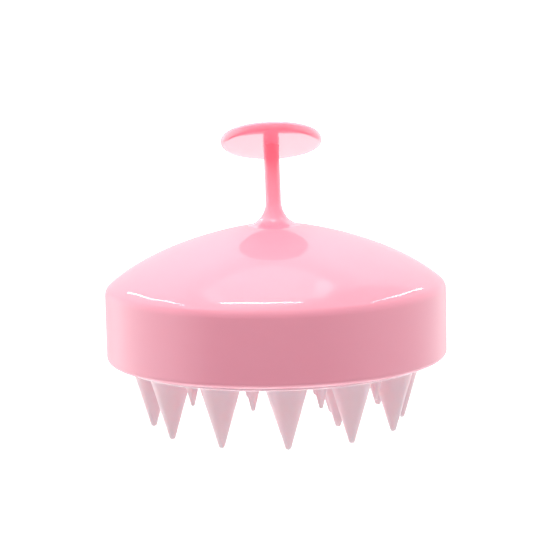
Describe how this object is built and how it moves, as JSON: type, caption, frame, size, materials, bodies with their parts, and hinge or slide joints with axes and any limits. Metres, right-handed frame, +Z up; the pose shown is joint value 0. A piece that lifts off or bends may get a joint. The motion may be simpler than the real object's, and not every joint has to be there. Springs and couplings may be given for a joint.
{
  "type": "scalp massager brush",
  "caption": "Round scalp massager brush with a domed glossy shell, a slim stem leaning back to a tilted finger disc, and a pull-out head of soft silicone tines.",
  "frame": {"origin": "on the brush axis, in the plane of the large tines' tips, which is the bottom centre of the bounding box", "axes": "+Z up along the brush axis from the tine tips to the finger disc; -Y is the front: the stem leans away from it and the disc's front edge is lifted; +X is to the right seen from the front"},
  "size_m": [0.085, 0.085, 0.0757],
  "materials": {
    "gloss_pink": "high-gloss moulded ABS",
    "pale_pink": "milky gloss plastic, paler than the shell",
    "matt_pink": "plain moulded ABS, not polished",
    "silicone": "soft translucent silicone, satin",
    "steel": "zinc-plated steel"
  },
  "bodies": {
    "handle": {"dome_shell": "gloss_pink", "grip_stem": "gloss_pink", "grip_disc": "gloss_pink", "stem_screw": "steel", "stem_washer": "steel"},
    "head": {"retaining_ring": "pale_pink", "backing_plate": "matt_pink", "bristle_pad": "silicone"},
    "outer_tine_01": {"outer_tine_01": "silicone"},
    "outer_tine_02": {"outer_tine_02": "silicone"},
    "outer_tine_03": {"outer_tine_03": "silicone"},
    "outer_tine_04": {"outer_tine_04": "silicone"},
    "outer_tine_05": {"outer_tine_05": "silicone"},
    "outer_tine_06": {"outer_tine_06": "silicone"},
    "outer_tine_07": {"outer_tine_07": "silicone"},
    "outer_tine_08": {"outer_tine_08": "silicone"},
    "outer_tine_09": {"outer_tine_09": "silicone"},
    "outer_tine_10": {"outer_tine_10": "silicone"},
    "outer_tine_11": {"outer_tine_11": "silicone"},
    "outer_tine_12": {"outer_tine_12": "silicone"},
    "outer_nub_01": {"outer_nub_01": "silicone"},
    "outer_nub_02": {"outer_nub_02": "silicone"},
    "outer_nub_03": {"outer_nub_03": "silicone"},
    "outer_nub_04": {"outer_nub_04": "silicone"},
    "outer_nub_05": {"outer_nub_05": "silicone"},
    "outer_nub_06": {"outer_nub_06": "silicone"},
    "outer_nub_07": {"outer_nub_07": "silicone"},
    "outer_nub_08": {"outer_nub_08": "silicone"},
    "outer_nub_09": {"outer_nub_09": "silicone"},
    "outer_nub_10": {"outer_nub_10": "silicone"},
    "outer_nub_11": {"outer_nub_11": "silicone"},
    "outer_nub_12": {"outer_nub_12": "silicone"},
    "inner_tine_01": {"inner_tine_01": "silicone"},
    "inner_tine_02": {"inner_tine_02": "silicone"},
    "inner_tine_03": {"inner_tine_03": "silicone"},
    "inner_tine_04": {"inner_tine_04": "silicone"},
    "inner_tine_05": {"inner_tine_05": "silicone"},
    "inner_tine_06": {"inner_tine_06": "silicone"},
    "inner_nub_01": {"inner_nub_01": "silicone"},
    "inner_nub_02": {"inner_nub_02": "silicone"},
    "inner_nub_03": {"inner_nub_03": "silicone"},
    "inner_nub_04": {"inner_nub_04": "silicone"},
    "inner_nub_05": {"inner_nub_05": "silicone"},
    "inner_nub_06": {"inner_nub_06": "silicone"},
    "centre_tine": {"centre_tine": "silicone"}
  },
  "joints": [
    {"name": "head_pull", "type": "slide", "parent": "handle", "child": "head", "axis": [0, 0, -1], "range_m": [0, 0.02], "stiffness_N_per_m": 60},
    {"name": "outer_tine_01_bend", "type": "hinge", "parent": "head", "child": "outer_tine_01", "pos_m": [0.00136, -0.03127, 0.0161], "axis": [-0.999, -0.0436, 0], "range_deg": [-15, 15], "stiffness_Nm_per_rad": 0.03},
    {"name": "outer_tine_02_bend", "type": "hinge", "parent": "head", "child": "outer_tine_02", "pos_m": [0.01682, -0.0264, 0.0161], "axis": [-0.8434, -0.5373, 0], "range_deg": [-15, 15], "stiffness_Nm_per_rad": 0.03},
    {"name": "outer_tine_03_bend", "type": "hinge", "parent": "head", "child": "outer_tine_03", "pos_m": [0.02776, -0.01445, 0.0161], "axis": [-0.4617, -0.887, 0], "range_deg": [-15, 15], "stiffness_Nm_per_rad": 0.03},
    {"name": "outer_tine_04_bend", "type": "hinge", "parent": "head", "child": "outer_tine_04", "pos_m": [0.03127, 0.00136, 0.0161], "axis": [0.0436, -0.999, 0], "range_deg": [-15, 15], "stiffness_Nm_per_rad": 0.03},
    {"name": "outer_tine_05_bend", "type": "hinge", "parent": "head", "child": "outer_tine_05", "pos_m": [0.0264, 0.01682, 0.0161], "axis": [0.5373, -0.8434, 0], "range_deg": [-15, 15], "stiffness_Nm_per_rad": 0.03},
    {"name": "outer_tine_06_bend", "type": "hinge", "parent": "head", "child": "outer_tine_06", "pos_m": [0.01445, 0.02776, 0.0161], "axis": [0.887, -0.4617, 0], "range_deg": [-15, 15], "stiffness_Nm_per_rad": 0.03},
    {"name": "outer_tine_07_bend", "type": "hinge", "parent": "head", "child": "outer_tine_07", "pos_m": [-0.00136, 0.03127, 0.0161], "axis": [0.999, 0.0436, 0], "range_deg": [-15, 15], "stiffness_Nm_per_rad": 0.03},
    {"name": "outer_tine_08_bend", "type": "hinge", "parent": "head", "child": "outer_tine_08", "pos_m": [-0.01682, 0.0264, 0.0161], "axis": [0.8434, 0.5373, 0], "range_deg": [-15, 15], "stiffness_Nm_per_rad": 0.03},
    {"name": "outer_tine_09_bend", "type": "hinge", "parent": "head", "child": "outer_tine_09", "pos_m": [-0.02776, 0.01445, 0.0161], "axis": [0.4617, 0.887, 0], "range_deg": [-15, 15], "stiffness_Nm_per_rad": 0.03},
    {"name": "outer_tine_10_bend", "type": "hinge", "parent": "head", "child": "outer_tine_10", "pos_m": [-0.03127, -0.00136, 0.0161], "axis": [-0.0436, 0.999, 0], "range_deg": [-15, 15], "stiffness_Nm_per_rad": 0.03},
    {"name": "outer_tine_11_bend", "type": "hinge", "parent": "head", "child": "outer_tine_11", "pos_m": [-0.0264, -0.01682, 0.0161], "axis": [-0.5373, 0.8434, 0], "range_deg": [-15, 15], "stiffness_Nm_per_rad": 0.03},
    {"name": "outer_tine_12_bend", "type": "hinge", "parent": "head", "child": "outer_tine_12", "pos_m": [-0.01445, -0.02776, 0.0161], "axis": [-0.887, 0.4617, 0], "range_deg": [-15, 15], "stiffness_Nm_per_rad": 0.03},
    {"name": "outer_nub_01_bend", "type": "hinge", "parent": "head", "child": "outer_nub_01", "pos_m": [0.00941, -0.02985, 0.0161], "axis": [-0.9537, -0.3007, 0], "range_deg": [-20, 20], "stiffness_Nm_per_rad": 0.005},
    {"name": "outer_nub_02_bend", "type": "hinge", "parent": "head", "child": "outer_nub_02", "pos_m": [0.02308, -0.02115, 0.0161], "axis": [-0.6756, -0.7373, 0], "range_deg": [-20, 20], "stiffness_Nm_per_rad": 0.005},
    {"name": "outer_nub_03_bend", "type": "hinge", "parent": "head", "child": "outer_nub_03", "pos_m": [0.03056, -0.00677, 0.0161], "axis": [-0.2164, -0.9763, 0], "range_deg": [-20, 20], "stiffness_Nm_per_rad": 0.005},
    {"name": "outer_nub_04_bend", "type": "hinge", "parent": "head", "child": "outer_nub_04", "pos_m": [0.02985, 0.00941, 0.0161], "axis": [0.3007, -0.9537, 0], "range_deg": [-20, 20], "stiffness_Nm_per_rad": 0.005},
    {"name": "outer_nub_05_bend", "type": "hinge", "parent": "head", "child": "outer_nub_05", "pos_m": [0.02115, 0.02308, 0.0161], "axis": [0.7373, -0.6756, 0], "range_deg": [-20, 20], "stiffness_Nm_per_rad": 0.005},
    {"name": "outer_nub_06_bend", "type": "hinge", "parent": "head", "child": "outer_nub_06", "pos_m": [0.00677, 0.03056, 0.0161], "axis": [0.9763, -0.2164, 0], "range_deg": [-20, 20], "stiffness_Nm_per_rad": 0.005},
    {"name": "outer_nub_07_bend", "type": "hinge", "parent": "head", "child": "outer_nub_07", "pos_m": [-0.00941, 0.02985, 0.0161], "axis": [0.9537, 0.3007, 0], "range_deg": [-20, 20], "stiffness_Nm_per_rad": 0.005},
    {"name": "outer_nub_08_bend", "type": "hinge", "parent": "head", "child": "outer_nub_08", "pos_m": [-0.02308, 0.02115, 0.0161], "axis": [0.6756, 0.7373, 0], "range_deg": [-20, 20], "stiffness_Nm_per_rad": 0.005},
    {"name": "outer_nub_09_bend", "type": "hinge", "parent": "head", "child": "outer_nub_09", "pos_m": [-0.03056, 0.00677, 0.0161], "axis": [0.2164, 0.9763, 0], "range_deg": [-20, 20], "stiffness_Nm_per_rad": 0.005},
    {"name": "outer_nub_10_bend", "type": "hinge", "parent": "head", "child": "outer_nub_10", "pos_m": [-0.02985, -0.00941, 0.0161], "axis": [-0.3007, 0.9537, 0], "range_deg": [-20, 20], "stiffness_Nm_per_rad": 0.005},
    {"name": "outer_nub_11_bend", "type": "hinge", "parent": "head", "child": "outer_nub_11", "pos_m": [-0.02115, -0.02308, 0.0161], "axis": [-0.7373, 0.6756, 0], "range_deg": [-20, 20], "stiffness_Nm_per_rad": 0.005},
    {"name": "outer_nub_12_bend", "type": "hinge", "parent": "head", "child": "outer_nub_12", "pos_m": [-0.00677, -0.03056, 0.0161], "axis": [-0.9763, 0.2164, 0], "range_deg": [-20, 20], "stiffness_Nm_per_rad": 0.005},
    {"name": "inner_tine_01_bend", "type": "hinge", "parent": "head", "child": "inner_tine_01", "pos_m": [0.00072, -0.01648, 0.0161], "axis": [-0.999, -0.0436, 0], "range_deg": [-15, 15], "stiffness_Nm_per_rad": 0.03},
    {"name": "inner_tine_02_bend", "type": "hinge", "parent": "head", "child": "inner_tine_02", "pos_m": [0.01464, -0.00762, 0.0161], "axis": [-0.4617, -0.887, 0], "range_deg": [-15, 15], "stiffness_Nm_per_rad": 0.03},
    {"name": "inner_tine_03_bend", "type": "hinge", "parent": "head", "child": "inner_tine_03", "pos_m": [0.01392, 0.00886, 0.0161], "axis": [0.5373, -0.8434, 0], "range_deg": [-15, 15], "stiffness_Nm_per_rad": 0.03},
    {"name": "inner_tine_04_bend", "type": "hinge", "parent": "head", "child": "inner_tine_04", "pos_m": [-0.00072, 0.01648, 0.0161], "axis": [0.999, 0.0436, 0], "range_deg": [-15, 15], "stiffness_Nm_per_rad": 0.03},
    {"name": "inner_tine_05_bend", "type": "hinge", "parent": "head", "child": "inner_tine_05", "pos_m": [-0.01464, 0.00762, 0.0161], "axis": [0.4617, 0.887, 0], "range_deg": [-15, 15], "stiffness_Nm_per_rad": 0.03},
    {"name": "inner_tine_06_bend", "type": "hinge", "parent": "head", "child": "inner_tine_06", "pos_m": [-0.01392, -0.00886, 0.0161], "axis": [-0.5373, 0.8434, 0], "range_deg": [-15, 15], "stiffness_Nm_per_rad": 0.03},
    {"name": "inner_nub_01_bend", "type": "hinge", "parent": "head", "child": "inner_nub_01", "pos_m": [0.00886, -0.01392, 0.0161], "axis": [-0.8434, -0.5373, 0], "range_deg": [-20, 20], "stiffness_Nm_per_rad": 0.005},
    {"name": "inner_nub_02_bend", "type": "hinge", "parent": "head", "child": "inner_nub_02", "pos_m": [0.01648, 0.00072, 0.0161], "axis": [0.0436, -0.999, 0], "range_deg": [-20, 20], "stiffness_Nm_per_rad": 0.005},
    {"name": "inner_nub_03_bend", "type": "hinge", "parent": "head", "child": "inner_nub_03", "pos_m": [0.00762, 0.01464, 0.0161], "axis": [0.887, -0.4617, 0], "range_deg": [-20, 20], "stiffness_Nm_per_rad": 0.005},
    {"name": "inner_nub_04_bend", "type": "hinge", "parent": "head", "child": "inner_nub_04", "pos_m": [-0.00886, 0.01392, 0.0161], "axis": [0.8434, 0.5373, 0], "range_deg": [-20, 20], "stiffness_Nm_per_rad": 0.005},
    {"name": "inner_nub_05_bend", "type": "hinge", "parent": "head", "child": "inner_nub_05", "pos_m": [-0.01648, -0.00072, 0.0161], "axis": [-0.0436, 0.999, 0], "range_deg": [-20, 20], "stiffness_Nm_per_rad": 0.005},
    {"name": "inner_nub_06_bend", "type": "hinge", "parent": "head", "child": "inner_nub_06", "pos_m": [-0.00762, -0.01464, 0.0161], "axis": [-0.887, 0.4617, 0], "range_deg": [-20, 20], "stiffness_Nm_per_rad": 0.005},
    {"name": "centre_tine_bend", "type": "hinge", "parent": "head", "child": "centre_tine", "pos_m": [0, 0, 0.0161], "axis": [-0.999, -0.0436, 0], "range_deg": [-15, 15], "stiffness_Nm_per_rad": 0.03}
  ]
}
